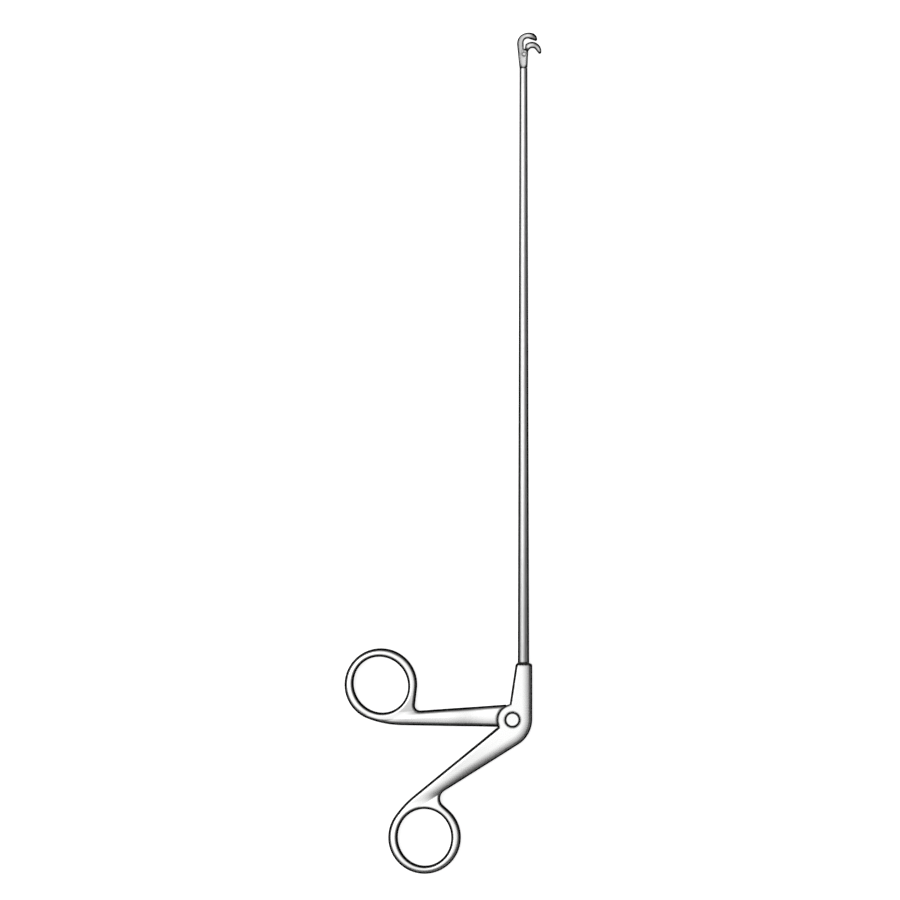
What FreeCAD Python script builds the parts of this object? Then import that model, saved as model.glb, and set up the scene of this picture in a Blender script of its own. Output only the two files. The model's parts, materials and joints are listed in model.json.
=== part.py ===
"""Laryngeal grasping forceps: thumb handle, finger lever, long tapered shaft and hooked jaws.

The instrument lies on its side. +Z is up, +Y runs along the shaft to the jaws and +X is the
side of the spine. The origin is on the lever's pivot axis, on the plane it rests on. All
sizes are millimetres and degrees, and each handle part is drawn about the middle plane.
"""
import FreeCAD, Part
import math
import os

import Sketcher

SIZES = (
    ("handle_thickness", 7.0, "housing, over its two cheeks"),
    ("ring_thickness", 4.8, "both finger rings and their arms"),
    ("edge_round", 1.45, "rounding of the handle edges"),
    ("housing_length", 22.05, "pivot to the front face of the housing"),
    ("housing_width", 6.53, "front face of the housing"),
    ("housing_lean", 8.5, "lean of the side that faces the finger lever"),
    ("spine_offset", 7.86, "pivot to the straight back of the housing"),
    ("shaft_offset", 4.4, "pivot to the axis of the shaft"),
    ("ear_radius", 5.95, "round ear about the pivot"),
    ("elbow_radius", 11.9, "outer bend from the housing to the thumb arm"),
    ("thumb_back", 34.77, "pivot to the thumb ring, across"),
    ("thumb_drop", 46.68, "pivot to the thumb ring, down"),
    ("thumb_bore_tilt", 94.8, "long axis of the thumb ring bore"),
    ("thumb_top_offset", 1.24, "upper edge of the thumb arm from the pivot"),
    ("thumb_top_gap", 1.04, "line of that edge outside the thumb ring"),
    ("thumb_low_offset", 9.55, "lower edge of the thumb arm from the pivot"),
    ("thumb_low_dip", 3.02, "line of that edge inside the thumb ring"),
    ("thumb_corner", 105.75, "turn of the inner corner between arm and ring"),
    ("thumb_taper_start", 8.0, "where the thumb arm starts to thin"),
    ("thumb_taper_end", 30.0, "where the thumb arm is as thin as its ring"),
    ("finger_back", 52.05, "pivot to the finger ring, across"),
    ("finger_rise", 13.76, "pivot to the finger ring, up"),
    ("finger_bore_tilt", 122.3, "long axis of the finger ring bore"),
    ("finger_top_offset", 6.05, "upper edge of the finger arm from the pivot"),
    ("finger_top_dip", 3.06, "line of that edge inside the finger ring"),
    ("finger_low_offset", 3.07, "lower edge of the finger arm from the pivot"),
    ("finger_low_gap", 1.46, "line of that edge outside the finger ring"),
    ("finger_corner", 101.04, "turn of the inner corner between arm and ring"),
    ("finger_taper_start", 11.5, "end of the flat tang"),
    ("finger_taper_end", 26.0, "where the finger arm is at full thickness"),
    ("bore_long", 22.5, "ring bore, long way"),
    ("bore_wide", 21.1, "ring bore, short way"),
    ("ring_wall", 3.5, "mean wall of a ring"),
    ("crotch_radius", 2.0, "inner corner between the finger arm and its ring"),
    ("thumb_crotch_radius", 3.6, "inner corner between the thumb arm and its ring"),
    ("edge_break", 0.4, "broken edges of the housing's front face"),
    ("sweep_radius", 40.0, "long curve from arm into ring"),
    ("cheek", 1.75, "each cheek beside the lever slot"),
    ("running_play", 0.05, "gap of a moving fit, each side"),
    ("seat_play", 0.02, "gap of a fixed fit, each side"),
    ("slot_play", 0.2, "gap round the lever in its slot"),
    ("slot_overrun", 2.0, "degrees the slot allows past the closed lever"),
    ("tang_back", 2.6, "upper corner of the tang from the pivot"),
    ("tang_low_back", 1.5, "lower corner of the tang from the pivot"),
    ("hub_radius", 2.6, "lever hub round the pivot"),
    ("barrel_radius", 1.5, "pivot barrel"),
    ("barrel_head_radius", 2.55, "flush head of the pivot barrel"),
    ("barrel_head_height", 1.0, "depth of that head"),
    ("barrel_reach", 0.75, "barrel end into the far cheek"),
    ("head_gap", 0.5, "ring gap round the flush head"),
    ("screw_radius", 0.8, "pivot screw thread"),
    ("screw_head_radius", 2.2, "countersunk head of the pivot screw"),
    ("screw_head_sink", 0.15, "screw head below the face of the cheek"),
    ("screw_slot", 0.6, "driver slot of the pivot screw"),
    ("lever_swing", 16.0, "travel of the finger lever"),
    ("crank_radius", 4.42, "pivot to the crank pin"),
    ("crank_end_radius", 1.55, "round end of the crank"),
    ("crank_thickness", 1.4, "crank between the clevis ears"),
    ("crank_pin_radius", 0.75, "pin through clevis and crank"),
    ("crank_pin_play", 0.1, "gap round the pin in the crank"),
    ("clevis_radius", 1.6, "clevis on the push rod"),
    ("clevis_play", 0.1, "gap round the clevis in its bore"),
    ("clevis_height", 6.8, "crank pin to the top of the clevis"),
    ("fork_depth", 2.2, "crank pin to the root of the fork"),
    ("thread_depth", 3.6, "push rod screwed into the clevis"),
    ("nut_across", 2.9, "lock nut across its flats"),
    ("nut_height", 1.6, "lock nut"),
    ("shaft_length", 235.78, "housing face to the jaw piece"),
    ("shaft_seat", 11.0, "shaft inside the housing"),
    ("shaft_rear_radius", 2.27, "shaft at the housing"),
    ("shaft_front_radius", 1.585, "shaft at the jaws"),
    ("shaft_wall", 0.4, "wall of the shaft tube"),
    ("solder_height", 0.7, "solder bead at the housing face"),
    ("rod_radius", 0.8, "push rod"),
    ("bush_length", 5.0, "guide bush in the shaft"),
    ("bush_first", 45.0, "housing face to the first guide bush"),
    ("bush_pitch", 70.0, "one guide bush to the next"),
    ("tip_half", 1.6, "half the thickness of the jaw piece"),
    ("tip_swell", 0.3, "extra width of the jaw piece at the notch, spine side"),
    ("spigot_length", 4.0, "jaw piece inside the shaft"),
    ("channel_half", 0.95, "half the channel for the jaw tang"),
    ("channel_floor", 0.25, "floor of the channel"),
    ("channel_wall", 1.48, "shaft axis to the back of the channel"),
    ("jaw_pivot_side", 0.2, "shaft axis to the jaw pivot"),
    ("jaw_pivot_rise", 5.5, "shaft end to the jaw pivot"),
    ("jaw_swing", 10.5, "travel of the moving jaw"),
    ("jaw_spare", 1.5, "degrees of gap left in the notch"),
    ("jaw_half", 1.5, "half the width of both jaws"),
    ("jaw_tip_half", 1.05, "half the width of both jaws at their ends"),
    ("jaw_round", 0.5, "rounding of the jaws"),
    ("cheek_arc", 2.2, "round top of the jaw piece cheeks"),
    ("neck_low_turn", 42.0, "lower side of the neck, seen from the rivet"),
    ("neck_gap", 0.1, "gap between that arc and the moving jaw"),
    ("jaw_hub_radius", 1.25, "moving jaw round its rivet"),
    ("rivet_radius", 0.5, "jaw rivet"),
    ("jaw_pin_rise", 1.2, "shaft end to the drive pin, jaws open"),
    ("jaw_pin_radius", 0.4, "drive pin"),
    ("cam_play", 0.07, "gap round the drive pin in the cam slots"),
    ("cam_wall", 0.4, "metal round the cam slots"),
    ("blade_half", 0.35, "half the flat end of the push rod"),
    ("blade_width", 1.5, "flat end of the push rod"),
    ("root_arch_radius", 4.15, "back of the fixed jaw, lower part"),
    ("top_arch_radius", 5.5, "back of the fixed jaw, top"),
    ("nose_radius", 2.5, "back of the fixed jaw, nose"),
    ("arch_rise", 9.8, "centre of the fixed jaw's lower arch"),
    ("arch_side", 1.6, "centre of the fixed jaw's lower arch from the axis"),
    ("throat_radius", 1.6, "inner bend of the fixed jaw"),
    ("throat_side", 0.08, "inner face of the fixed jaw from the axis"),
    ("throat_rise", 10.24, "centre of that bend"),
    ("throat_angle", 19.65, "inner face towards the end of the fixed jaw"),
    ("tip_end_radius", 0.6, "end of the fixed jaw"),
    ("hook_side", 3.4, "centre of the moving jaw's outer curve"),
    ("hook_rise", 6.7, "height of that centre"),
    ("hook_radius", 3.72, "outer curve of the moving jaw"),
    ("hollow_side", 3.55, "centre of the moving jaw's inner curve"),
    ("hollow_rise", 6.5, "height of that centre"),
    ("hollow_radius", 1.55, "inner curve of the moving jaw"),
    ("hook_end_radius", 0.65, "end of the moving jaw"),
    ("hook_end_angle", 6.0, "where the outer curve meets that end"),
)

MIDDLE = "Sizes.handle_thickness / 2"
RING_RADIUS = "((Sizes.bore_long + Sizes.bore_wide) / 4 + Sizes.ring_wall)"
THUMB_FAR = "sqrt(Sizes.thumb_back ^ 2 + Sizes.thumb_drop ^ 2)"
THUMB_TOWARDS = "180 + atan2(Sizes.thumb_drop; Sizes.thumb_back) / 1 deg"
THUMB_TOP_TURN = "(" + THUMB_TOWARDS + " - acos((Sizes.thumb_top_offset - " + RING_RADIUS + \
    " - Sizes.thumb_top_gap) / " + THUMB_FAR + ") / 1 deg)"
THUMB_LOW_TURN = "(" + THUMB_TOWARDS + " + acos((Sizes.thumb_low_offset + " + RING_RADIUS + \
    " - Sizes.thumb_low_dip) / " + THUMB_FAR + ") / 1 deg - 360)"
FINGER_FAR = "sqrt(Sizes.finger_back ^ 2 + Sizes.finger_rise ^ 2)"
FINGER_TOWARDS = "180 - atan2(Sizes.finger_rise; Sizes.finger_back) / 1 deg"
FINGER_TOP_TURN = "(" + FINGER_TOWARDS + " - acos((Sizes.finger_top_offset + " + RING_RADIUS + \
    " - Sizes.finger_top_dip) / " + FINGER_FAR + ") / 1 deg)"
FINGER_LOW_TURN = "(" + FINGER_TOWARDS + " + acos((Sizes.finger_low_offset - " + RING_RADIUS + \
    " - Sizes.finger_low_gap) / " + FINGER_FAR + ") / 1 deg)"
HANDLE_ROUND = "min(Sizes.edge_round; 0.3 * Sizes.ring_thickness;" \
    " 0.45 * (Sizes.ring_wall - abs(Sizes.bore_long - Sizes.bore_wide) / 4);" \
    " 0.42 * (Sizes.handle_thickness - 2 * Sizes.cheek))"
SLOT_HALF = "(Sizes.handle_thickness / 2 - Sizes.cheek)"
TANG_HALF = "(Sizes.handle_thickness / 2 - Sizes.cheek - Sizes.running_play)"
JAW_ROUND = "min(Sizes.jaw_round; 0.85 * Sizes.tip_end_radius; 0.85 * Sizes.hook_end_radius)"
LEAD = "(Sizes.lever_swing / 2)"
CRANK_PIN_Y = "(-Sizes.crank_radius * sin(Sizes.lever_swing * 0.5 deg))"
ROD_TRAVEL = "(2 * Sizes.crank_radius * sin(Sizes.lever_swing * 0.5 deg))"
SLOT_RADIUS = "(Sizes.crank_radius + Sizes.crank_end_radius + Sizes.slot_play)"
SHAFT_END = "(Sizes.housing_length + Sizes.shaft_length)"
SPIGOT_RADIUS = "(Sizes.shaft_front_radius - Sizes.shaft_wall - Sizes.seat_play)"
ROD_BORE = "(Sizes.rod_radius + Sizes.running_play)"
BLADE_START = "(Sizes.channel_floor - 0.15 - " + ROD_TRAVEL + ")"
CAM_RADIUS = "(Sizes.jaw_pin_radius + Sizes.cam_play)"
LEAF_RADIUS = "(Sizes.jaw_pin_radius + Sizes.cam_play + Sizes.cam_wall)"
CAM_END_X = "(Sizes.jaw_pivot_side - Sizes.jaw_pivot_side * cos(Sizes.jaw_swing * 1 deg) + (" \
    "Sizes.jaw_pin_rise + " + ROD_TRAVEL + " - Sizes.jaw_pivot_rise) * sin(Sizes.jaw_swing * 1 deg))"
CAM_END_Y = "(Sizes.jaw_pivot_rise + Sizes.jaw_pivot_side * sin(Sizes.jaw_swing * 1 deg) + (" \
    "Sizes.jaw_pin_rise + " + ROD_TRAVEL + " - Sizes.jaw_pivot_rise) * cos(Sizes.jaw_swing * 1 deg))"
NECK_LEFT = "(acos((Sizes.throat_side - Sizes.jaw_pivot_side) / (Sizes.cheek_arc + Sizes.neck_gap))" \
    " / 1 deg - Sizes.jaw_swing - Sizes.jaw_spare)"
CLEAR = 20.0

doc = FreeCAD.newDocument("laryngeal_forceps")
sheet = doc.addObject("Spreadsheet::Sheet", "Sizes")


def fill_sheet():
    """Writes every driving size, with its alias and what it measures."""
    for row, (alias, value, note) in enumerate(SIZES, 1):
        sheet.set("A%d" % row, alias)
        sheet.set("B%d" % row, str(value))
        sheet.setAlias("B%d" % row, alias)
        sheet.set("C%d" % row, note)
    doc.recompute()


def worth(rule):
    """The number that a rule on the sheet gives now."""
    found = sheet.evalExpression(str(rule))
    return float(getattr(found, "Value", found))


def spot(x, y):
    return FreeCAD.Vector(x, y, 0)


def polar(radius, degrees, about=None):
    """A point at a radius and an angle from a centre."""
    turned = spot(radius * math.cos(math.radians(degrees)), radius * math.sin(math.radians(degrees)))
    return turned if about is None else about + turned


def bearing(centre, point):
    """The angle of a point seen from a centre."""
    return math.degrees(math.atan2(point.y - centre.y, point.x - centre.x))


def new_body(name, x="0", y="0", z=MIDDLE):
    """An empty body whose placement follows the sheet."""
    body = doc.addObject("PartDesign::Body", name)
    body.Label = name
    for axis, place in zip("xyz", (x, y, z)):
        body.setExpression("Placement.Base." + axis, place)
    return body


def origin_part(body, role):
    return next(part for part in body.Origin.OriginFeatures if part.Role == role)


class Outline:
    """A sketch on one of its body's planes, with every dimension bound to the sheet."""

    def __init__(self, body, name, plane="XY_Plane"):
        self.sketch = body.newObject("Sketcher::SketchObject", name)
        self.sketch.AttachmentSupport = (origin_part(body, plane), [""])
        self.sketch.MapMode = "FlatFace"

    def shift(self, x, y, turn="0"):
        """Moves the sketch within its plane, then turns it."""
        turned = FreeCAD.Rotation(FreeCAD.Vector(0, 0, 1), 1)
        self.sketch.AttachmentOffset = FreeCAD.Placement(FreeCAD.Vector(), turned)
        self.sketch.setExpression("AttachmentOffset.Base.x", x)
        self.sketch.setExpression("AttachmentOffset.Base.y", y)
        self.sketch.setExpression("AttachmentOffset.Rotation.Angle", turn)

    def tie(self, kind, *items):
        self.sketch.addConstraint(Sketcher.Constraint(kind, *items))

    def size(self, kind, *items):
        """A dimension; the last item is its rule on the sheet."""
        rule = items[-1]
        value = worth(rule)
        if kind == "Angle":
            value = math.radians(value)
        index = self.sketch.addConstraint(Sketcher.Constraint(kind, *items[:-1], value))
        self.sketch.setExpression("Constraints[%d]" % index, rule)

    def line(self, start, end, helper=False):
        return self.sketch.addGeometry(Part.LineSegment(start, end), helper)

    def arc(self, centre, radius, start, end):
        """An arc that runs anticlockwise between two angles."""
        circle = Part.Circle(centre, FreeCAD.Vector(0, 0, 1), radius)
        bend = Part.ArcOfCircle(circle, math.radians(start), math.radians(end))
        return self.sketch.addGeometry(bend, False)

    def meet(self, first, first_end, second, second_end):
        self.tie("Coincident", first, first_end, second, second_end)

    def flow(self, first, first_end, second, second_end):
        """Two pieces that meet without a corner."""
        self.tie("Tangent", first, first_end, second, second_end)

    def at(self, piece, end, x, y):
        self.size("DistanceX", -1, 1, piece, end, x)
        self.size("DistanceY", -1, 1, piece, end, y)

    def circle(self, x, y, radius):
        ring = Part.Circle(spot(worth(x), worth(y)), FreeCAD.Vector(0, 0, 1), worth(radius))
        hole = self.sketch.addGeometry(ring, False)
        self.at(hole, 3, x, y)
        self.size("Radius", hole, radius)

    def oval(self, level_way, upright_way):
        """An ellipse on the sketch's own centre, one of its axes level."""
        across = FreeCAD.Vector(worth(level_way) / 2, 0, 0)
        upwards = FreeCAD.Vector(0, worth(upright_way) / 2, 0)
        lying = across.Length > upwards.Length
        major, minor = (across, upwards) if lying else (upwards, across)
        hole = self.sketch.addGeometry(Part.Ellipse(major, minor, FreeCAD.Vector()), False)
        self.sketch.exposeInternalGeometry(hole)
        self.meet(hole, 3, -1, 1)
        self.tie("Horizontal" if lying else "Vertical", hole + 1)
        self.size("Distance", hole + 1, level_way if lying else upright_way)
        self.size("Distance", hole + 2, upright_way if lying else level_way)

    def loop(self, corners):
        """A closed run of straight lines through corners given as rules."""
        points = [spot(worth(x), worth(y)) for x, y in corners]
        sides = [self.line(a, b) for a, b in zip(points, points[1:] + points[:1])]
        for side, after in zip(sides, sides[1:] + sides[:1]):
            self.meet(side, 2, after, 1)
        for side, (x, y) in zip(sides, corners):
            self.at(side, 1, x, y)

    def bar(self, start, end, radius):
        """A round-ended slot between two points given as rules."""
        first = spot(worth(start[0]), worth(start[1]))
        last = spot(worth(end[0]), worth(end[1]))
        wide = worth(radius)
        way = bearing(first, last)
        tail = self.arc(first, wide, way + 90, way + 270)
        head = self.arc(last, wide, way - 90, way + 90)
        right = self.line(polar(wide, way - 90, first), polar(wide, way - 90, last))
        left = self.line(polar(wide, way + 90, last), polar(wide, way + 90, first))
        self.flow(tail, 2, right, 1)
        self.flow(right, 2, head, 1)
        self.flow(head, 2, left, 1)
        self.flow(left, 2, tail, 1)
        self.at(tail, 3, *start)
        self.at(head, 3, *end)
        self.size("Radius", tail, radius)


def both_ways(feature, length):
    feature.SideType = "Symmetric"
    feature.setExpression("Length", length)


def pad(body, outline, name, length):
    """Grows an outline the same way to both sides of its plane."""
    grown = body.newObject("PartDesign::Pad", name)
    grown.Profile = outline.sketch
    both_ways(grown, length)
    doc.recompute()
    return grown


def cut(body, outline, name, length=str(8 * CLEAR)):
    """Cuts an outline the same way to both sides of its plane."""
    before = body.Shape.Volume
    hole = body.newObject("PartDesign::Pocket", name)
    hole.Profile = outline.sketch
    both_ways(hole, length)
    doc.recompute()
    if body.Shape.Volume >= before:
        raise RuntimeError(name + " cuts nothing")
    return hole


def turn(body, outline, name, axis="V_Axis"):
    """Revolves an outline about an axis of its sketch."""
    turned = body.newObject("PartDesign::Revolution", name)
    turned.Profile = outline.sketch
    turned.ReferenceAxis = (outline.sketch, [axis])
    turned.Angle = 360
    doc.recompute()
    return turned


def bore(body, outline, name, axis="V_Axis"):
    """Cuts a revolved outline about an axis of its sketch."""
    before = body.Shape.Volume
    turned = body.newObject("PartDesign::Groove", name)
    turned.Profile = outline.sketch
    turned.ReferenceAxis = (outline.sketch, [axis])
    turned.Angle = 360
    doc.recompute()
    if body.Shape.Volume >= before:
        raise RuntimeError(name + " cuts nothing")
    return turned


def soften(body, name, names, radius):
    """Rounds the named edges of the body's last feature."""
    rounded = body.newObject("PartDesign::Fillet", name)
    rounded.Base = (body.Tip if body.Tip != rounded else rounded.BaseFeature, names)
    rounded.setExpression("Radius", radius)
    doc.recompute()
    return rounded


def break_edges(body, name, names, width):
    """Chamfers the named edges of the body's last feature."""
    broken = body.newObject("PartDesign::Chamfer", name)
    broken.Base = (body.Tip if body.Tip != broken else broken.BaseFeature, names)
    broken.setExpression("Size", width)
    doc.recompute()
    return broken


def rim_edges(shape, wanted):
    """Edges between an upright side and a lying face, where wanted says so of their middle."""
    found = []
    for number, edge in enumerate(shape.Edges, 1):
        middle = edge.valueAt((edge.FirstParameter + edge.LastParameter) / 2)
        leans = []
        for face in shape.ancestorsOfType(edge, Part.Face):
            u, v = face.Surface.parameter(middle)
            leans.append(abs(face.normalAt(u, v).z))
        if len(leans) == 2 and min(leans) < 0.02 and max(leans) > 0.7 and wanted(middle):
            found.append("Edge%d" % number)
    return found


def ring_side(centre, radius, line_turn, line_offset, out_turn, sweep):
    """Draws the long curve from an arm's edge into its ring, as centre and two angles."""
    normal = polar(1, line_turn)
    along = polar(1, out_turn)
    drop = (line_offset - sweep) - normal.dot(centre)
    back = math.sqrt((sweep - radius) ** 2 - drop ** 2)
    middle = centre - along * back + normal * drop
    return middle, line_turn, bearing(middle, centre)


def corner_centre(first_turn, first_offset, second_turn, second_offset):
    """The point at two offsets from the origin, along two directions."""
    a = polar(1, first_turn)
    b = polar(1, second_turn)
    spread = a.x * b.y - a.y * b.x
    x = (first_offset * b.y - second_offset * a.y) / spread
    y = (second_offset * a.x - first_offset * b.x) / spread
    return spot(x, y)


def thumb_outline(body):
    """Housing, thumb arm and ring as one outline, anticlockwise from the front face."""
    out = Outline(body, "thumb_outline")
    ring = worth(RING_RADIUS)
    spine = worth("Sizes.spine_offset")
    front = worth("Sizes.housing_length")
    ear = worth("Sizes.ear_radius")
    elbow = worth("Sizes.elbow_radius")
    crotch = worth("Sizes.thumb_crotch_radius")
    sweep = worth("Sizes.sweep_radius")
    top_offset = worth("Sizes.thumb_top_offset")
    low_offset = worth("Sizes.thumb_low_offset")
    top_turn = worth(THUMB_TOP_TURN)
    low_turn = worth(THUMB_LOW_TURN)
    leave = low_turn + worth("Sizes.thumb_corner")
    lean = math.radians(worth("Sizes.housing_lean"))
    centre = spot(-worth("Sizes.thumb_back"), -worth("Sizes.thumb_drop"))

    front_left = spot(spine - worth("Sizes.housing_width"), front)
    slope = spot(-math.sin(lean), -math.cos(lean))
    reach = -front_left.dot(slope)
    reach = reach - math.sqrt(reach ** 2 - front_left.dot(front_left) + ear ** 2)
    ear_top = front_left + slope * reach
    away = math.sqrt(ear ** 2 - top_offset ** 2)
    notch = polar(top_offset, top_turn) + polar(away, top_turn + 90)
    middle, sweep_start, sweep_end = ring_side(
        centre, ring, top_turn, top_offset, top_turn + 90, sweep)
    ring_line = polar(1, leave).dot(centre) + ring
    inner = corner_centre(low_turn, low_offset + crotch, leave, ring_line + crotch)
    bend_x = spine - elbow
    normal = polar(1, low_turn)
    bend = spot(bend_x, (low_offset - elbow - normal.x * bend_x) / normal.y)

    face = out.line(spot(spine, front), front_left)
    side = out.line(front_left, ear_top)
    round_ear = out.arc(spot(0, 0), ear, bearing(spot(0, 0), ear_top), bearing(spot(0, 0), notch) + 360)
    upper = out.line(notch, polar(sweep, sweep_start, middle))
    long_curve = out.arc(middle, sweep, sweep_start, sweep_end + 360)
    ring_arc = out.arc(centre, ring, sweep_end, leave + 360)
    from_ring = out.line(polar(ring, leave, centre), polar(crotch, leave + 180, inner))
    corner = out.arc(inner, crotch, low_turn + 180, leave + 180)
    lower = out.line(polar(crotch, low_turn + 180, inner), polar(elbow, low_turn, bend))
    outer_bend = out.arc(bend, elbow, low_turn, 0)
    back = out.line(spot(spine, bend.y), spot(spine, front))

    out.meet(face, 2, side, 1)
    out.meet(side, 2, round_ear, 1)
    out.meet(round_ear, 2, upper, 1)
    out.flow(upper, 2, long_curve, 1)
    out.flow(long_curve, 2, ring_arc, 1)
    out.flow(ring_arc, 2, from_ring, 1)
    out.flow(from_ring, 2, corner, 2)
    out.flow(corner, 1, lower, 1)
    out.flow(lower, 2, outer_bend, 1)
    out.flow(outer_bend, 2, back, 1)
    out.meet(back, 2, face, 1)
    out.tie("Horizontal", face)
    out.tie("Vertical", back)
    out.at(face, 1, "Sizes.spine_offset", "Sizes.housing_length")
    out.size("Distance", face, "Sizes.housing_width")
    out.size("Angle", side, "-90 - Sizes.housing_lean")
    out.meet(round_ear, 3, -1, 1)
    out.size("Radius", round_ear, "Sizes.ear_radius")
    out.size("Angle", upper, THUMB_TOP_TURN + " - 270")
    out.size("Distance", -1, 1, upper, "Sizes.thumb_top_offset")
    out.size("Radius", long_curve, "Sizes.sweep_radius")
    out.at(ring_arc, 3, "-Sizes.thumb_back", "-Sizes.thumb_drop")
    out.size("Radius", ring_arc, RING_RADIUS)
    out.size("Angle", from_ring, THUMB_LOW_TURN + " + Sizes.thumb_corner + 90")
    out.size("Radius", corner, "Sizes.thumb_crotch_radius")
    out.size("Angle", lower, THUMB_LOW_TURN + " + 90")
    out.size("Distance", -1, 1, lower, "Sizes.thumb_low_offset")
    out.size("Radius", outer_bend, "Sizes.elbow_radius")
    return out


def finger_outline(body):
    """Finger lever: hub, arm and ring as one outline, anticlockwise from the hub."""
    out = Outline(body, "finger_outline")
    ring = worth(RING_RADIUS)
    hub = worth("Sizes.hub_radius")
    crotch = worth("Sizes.crotch_radius")
    sweep = worth("Sizes.sweep_radius")
    top_offset = worth("Sizes.finger_top_offset")
    low_offset = worth("Sizes.finger_low_offset")
    top_turn = worth(FINGER_TOP_TURN)
    low_turn = worth(FINGER_LOW_TURN)
    leave = top_turn - worth("Sizes.finger_corner")
    centre = spot(-worth("Sizes.finger_back"), worth("Sizes.finger_rise"))

    top_x = -worth("Sizes.tang_back")
    low_x = -worth("Sizes.tang_low_back")
    top_normal = polar(1, top_turn)
    low_normal = polar(1, low_turn)
    top_corner = spot(top_x, (top_offset - top_normal.x * top_x) / top_normal.y)
    low_corner = spot(low_x, (low_offset - low_normal.x * low_x) / low_normal.y)
    hub_top = bearing(spot(0, 0), top_corner) - math.degrees(math.acos(hub / top_corner.Length))
    hub_low = bearing(spot(0, 0), low_corner) + math.degrees(math.acos(hub / low_corner.Length))
    ring_line = polar(1, leave).dot(centre) + ring
    inner = corner_centre(top_turn, top_offset + crotch, leave, ring_line + crotch)
    middle, sweep_end, sweep_start = ring_side(
        centre, ring, low_turn, low_offset, low_turn - 90, sweep)
    sweep_start = sweep_start % 360

    hub_arc = out.arc(spot(0, 0), hub, hub_low, hub_top)
    web_top = out.line(polar(hub, hub_top), top_corner)
    upper = out.line(top_corner, polar(crotch, top_turn + 180, inner))
    corner = out.arc(inner, crotch, leave + 180, top_turn + 180)
    to_ring = out.line(polar(crotch, leave + 180, inner), polar(ring, leave, centre))
    ring_arc = out.arc(centre, ring, leave, sweep_start)
    long_curve = out.arc(middle, sweep, sweep_start, sweep_end)
    lower = out.line(polar(sweep, sweep_end, middle), low_corner)
    web_low = out.line(low_corner, polar(hub, hub_low))

    out.flow(hub_arc, 2, web_top, 1)
    out.meet(web_top, 2, upper, 1)
    out.flow(upper, 2, corner, 2)
    out.flow(corner, 1, to_ring, 1)
    out.flow(to_ring, 2, ring_arc, 1)
    out.flow(ring_arc, 2, long_curve, 1)
    out.flow(long_curve, 2, lower, 1)
    out.meet(lower, 2, web_low, 1)
    out.flow(web_low, 2, hub_arc, 1)
    out.meet(hub_arc, 3, -1, 1)
    out.size("Radius", hub_arc, "Sizes.hub_radius")
    out.size("DistanceX", -1, 1, upper, 1, "-Sizes.tang_back")
    out.size("DistanceX", -1, 1, lower, 2, "-Sizes.tang_low_back")
    out.size("Angle", upper, FINGER_TOP_TURN + " - 270")
    out.size("Distance", -1, 1, upper, "Sizes.finger_top_offset")
    out.size("Angle", lower, FINGER_LOW_TURN + " - 270")
    out.size("Distance", -1, 1, lower, "Sizes.finger_low_offset")
    out.size("Radius", corner, "Sizes.crotch_radius")
    out.size("Angle", to_ring, FINGER_TOP_TURN + " - Sizes.finger_corner + 90")
    out.at(ring_arc, 3, "-Sizes.finger_back", "Sizes.finger_rise")
    out.size("Radius", ring_arc, RING_RADIUS)
    out.size("Radius", long_curve, "Sizes.sweep_radius")
    return out


def thinning(body, name, plane, near, far, thick, thin, far_end):
    """Trims both faces from one half thickness to another by one smooth double bend.

    near and far are rules along the plane's level axis, near the greater of the two.
    """
    out = Outline(body, name, plane)
    a = worth(near)
    b = worth(far)
    high = worth(thick)
    low = worth(thin)
    step = abs(high - low)
    radius = ((a - b) ** 2 + step ** 2) / (4 * step)
    half_turn = math.degrees(math.asin((a - b) / 2 / radius))
    for side in (1, -1):
        tall = CLEAR * side
        inward = side if high > low else -side
        start = out.line(spot(CLEAR * 4, high * side), spot(a, high * side))
        near_centre = spot(a, high * side - inward * radius)
        far_centre = spot(b, low * side + inward * radius)
        if inward > 0:
            first = out.arc(near_centre, radius, 90, 90 + half_turn)
            second = out.arc(far_centre, radius, 270, 270 + half_turn)
            ends = (1, 2, 2, 1)
        else:
            first = out.arc(near_centre, radius, 270 - half_turn, 270)
            second = out.arc(far_centre, radius, 90 - half_turn, 90)
            ends = (2, 1, 1, 2)
        flat = out.line(spot(b, low * side), spot(worth(far_end), low * side))
        down = out.line(spot(worth(far_end), low * side), spot(worth(far_end), tall))
        over = out.line(spot(worth(far_end), tall), spot(CLEAR * 4, tall))
        back = out.line(spot(CLEAR * 4, tall), spot(CLEAR * 4, high * side))
        out.flow(start, 2, first, ends[0])
        out.flow(first, ends[1], second, ends[2])
        out.flow(second, ends[3], flat, 1)
        out.meet(flat, 2, down, 1)
        out.meet(down, 2, over, 1)
        out.meet(over, 2, back, 1)
        out.meet(back, 2, start, 1)
        out.tie("Horizontal", start)
        out.tie("Horizontal", flat)
        out.tie("Horizontal", over)
        out.tie("Vertical", down)
        out.tie("Vertical", back)
        sign = "" if side > 0 else "-"
        out.at(start, 2, near, sign + thick)
        out.at(flat, 1, far, sign + thin)
        out.tie("Equal", first, second)
        out.size("DistanceX", -1, 1, over, 1, far_end)
        out.size("DistanceX", -1, 1, over, 2, str(CLEAR * 4))
        out.size("DistanceY", -1, 1, over, 2, str(tall))
    cut(body, out, name + "_cut")


def ring_bore(body, name, x, y, tilt):
    """The oval bore of a finger ring."""
    out = Outline(body, name)
    out.shift(x, y, tilt)
    out.oval("Sizes.bore_long", "Sizes.bore_wide")
    cut(body, out, name + "_cut")


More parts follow.
